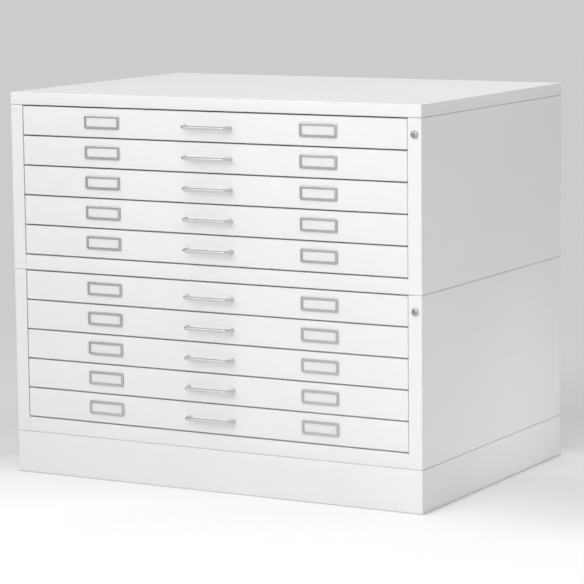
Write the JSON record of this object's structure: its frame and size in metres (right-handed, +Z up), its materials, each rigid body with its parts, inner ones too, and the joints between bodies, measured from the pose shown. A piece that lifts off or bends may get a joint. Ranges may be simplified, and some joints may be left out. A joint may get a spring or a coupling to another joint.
{
  "type": "flat file cabinet",
  "caption": "Two-section steel flat file on a closed base: shallow roller drawers with bail pulls and label holders, a lock bar worked by a cylinder lock in each section.",
  "frame": {"origin": "on the floor, under the middle of the whole object's box, pulls counted in", "axes": "+X to the right along the drawer fronts, +Y to the back, +Z up"},
  "size_m": [1.035, 0.7483, 0.87],
  "materials": {
    "white_enamel": "smooth white baked enamel, satin",
    "chrome": "bright chrome plate",
    "nickel": "satin nickel plate",
    "zinc_steel": "bright zinc-plated steel"
  },
  "bodies": {
    "case": {"cap": "white_enamel", "closed_base": "white_enamel", "lower_left_side": "white_enamel", "lower_right_side": "white_enamel", "lower_back_panel": "white_enamel", "lower_bottom_rail": "white_enamel", "lower_left_runners": "zinc_steel", "lower_right_runners": "zinc_steel", "lower_lock_cylinder": "chrome", "upper_left_side": "white_enamel", "upper_right_side": "white_enamel", "upper_back_panel": "white_enamel", "upper_bottom_rail": "white_enamel", "upper_left_runners": "zinc_steel", "upper_right_runners": "zinc_steel", "upper_lock_cylinder": "chrome"},
    "drawer_01": {"drawer_01_tray": "white_enamel", "drawer_01_pull": "chrome", "drawer_01_left_label_holder": "nickel", "drawer_01_right_label_holder": "nickel"},
    "drawer_02": {"drawer_02_tray": "white_enamel", "drawer_02_pull": "chrome", "drawer_02_left_label_holder": "nickel", "drawer_02_right_label_holder": "nickel"},
    "drawer_03": {"drawer_03_tray": "white_enamel", "drawer_03_pull": "chrome", "drawer_03_left_label_holder": "nickel", "drawer_03_right_label_holder": "nickel"},
    "drawer_04": {"drawer_04_tray": "white_enamel", "drawer_04_pull": "chrome", "drawer_04_left_label_holder": "nickel", "drawer_04_right_label_holder": "nickel"},
    "drawer_05": {"drawer_05_tray": "white_enamel", "drawer_05_pull": "chrome", "drawer_05_left_label_holder": "nickel", "drawer_05_right_label_holder": "nickel"},
    "drawer_06": {"drawer_06_tray": "white_enamel", "drawer_06_pull": "chrome", "drawer_06_left_label_holder": "nickel", "drawer_06_right_label_holder": "nickel"},
    "drawer_07": {"drawer_07_tray": "white_enamel", "drawer_07_pull": "chrome", "drawer_07_left_label_holder": "nickel", "drawer_07_right_label_holder": "nickel"},
    "drawer_08": {"drawer_08_tray": "white_enamel", "drawer_08_pull": "chrome", "drawer_08_left_label_holder": "nickel", "drawer_08_right_label_holder": "nickel"},
    "drawer_09": {"drawer_09_tray": "white_enamel", "drawer_09_pull": "chrome", "drawer_09_left_label_holder": "nickel", "drawer_09_right_label_holder": "nickel"},
    "drawer_10": {"drawer_10_tray": "white_enamel", "drawer_10_pull": "chrome", "drawer_10_left_label_holder": "nickel", "drawer_10_right_label_holder": "nickel"},
    "lower_lock_bar": {"lower_lock_bar": "zinc_steel"},
    "lower_lock_plug": {"lower_lock_plug": "chrome"},
    "upper_lock_bar": {"upper_lock_bar": "zinc_steel"},
    "upper_lock_plug": {"upper_lock_plug": "chrome"}
  },
  "joints": [
    {"name": "drawer_01_slide", "type": "slide", "parent": "case", "child": "drawer_01", "axis": [0, -1, 0], "range_m": [0, 0.59]},
    {"name": "drawer_02_slide", "type": "slide", "parent": "case", "child": "drawer_02", "axis": [0, -1, 0], "range_m": [0, 0.59]},
    {"name": "drawer_03_slide", "type": "slide", "parent": "case", "child": "drawer_03", "axis": [0, -1, 0], "range_m": [0, 0.59]},
    {"name": "drawer_04_slide", "type": "slide", "parent": "case", "child": "drawer_04", "axis": [0, -1, 0], "range_m": [0, 0.59]},
    {"name": "drawer_05_slide", "type": "slide", "parent": "case", "child": "drawer_05", "axis": [0, -1, 0], "range_m": [0, 0.59]},
    {"name": "drawer_06_slide", "type": "slide", "parent": "case", "child": "drawer_06", "axis": [0, -1, 0], "range_m": [0, 0.59]},
    {"name": "drawer_07_slide", "type": "slide", "parent": "case", "child": "drawer_07", "axis": [0, -1, 0], "range_m": [0, 0.59]},
    {"name": "drawer_08_slide", "type": "slide", "parent": "case", "child": "drawer_08", "axis": [0, -1, 0], "range_m": [0, 0.59]},
    {"name": "drawer_09_slide", "type": "slide", "parent": "case", "child": "drawer_09", "axis": [0, -1, 0], "range_m": [0, 0.59]},
    {"name": "drawer_10_slide", "type": "slide", "parent": "case", "child": "drawer_10", "axis": [0, -1, 0], "range_m": [0, 0.59]},
    {"name": "lower_lock_bar_lift", "type": "slide", "parent": "case", "child": "lower_lock_bar", "axis": [0, 0, 1], "range_m": [0, 0.00707]},
    {"name": "lower_lock_plug_turn", "type": "hinge", "parent": "case", "child": "lower_lock_plug", "pos_m": [0.5015, -0.34585, 0.4333], "axis": [0, 1, 0], "range_deg": [0, 90]},
    {"name": "upper_lock_bar_lift", "type": "slide", "parent": "case", "child": "upper_lock_bar", "axis": [0, 0, 1], "range_m": [0, 0.00707]},
    {"name": "upper_lock_plug_turn", "type": "hinge", "parent": "case", "child": "upper_lock_plug", "pos_m": [0.5015, -0.34585, 0.8068], "axis": [0, 1, 0], "range_deg": [0, 90]}
  ],
  "couplings": [
    {"joint": "lower_lock_plug_turn", "follows": "lower_lock_bar_lift", "rad_per_m": 222.1},
    {"joint": "upper_lock_plug_turn", "follows": "upper_lock_bar_lift", "rad_per_m": 222.1}
  ]
}
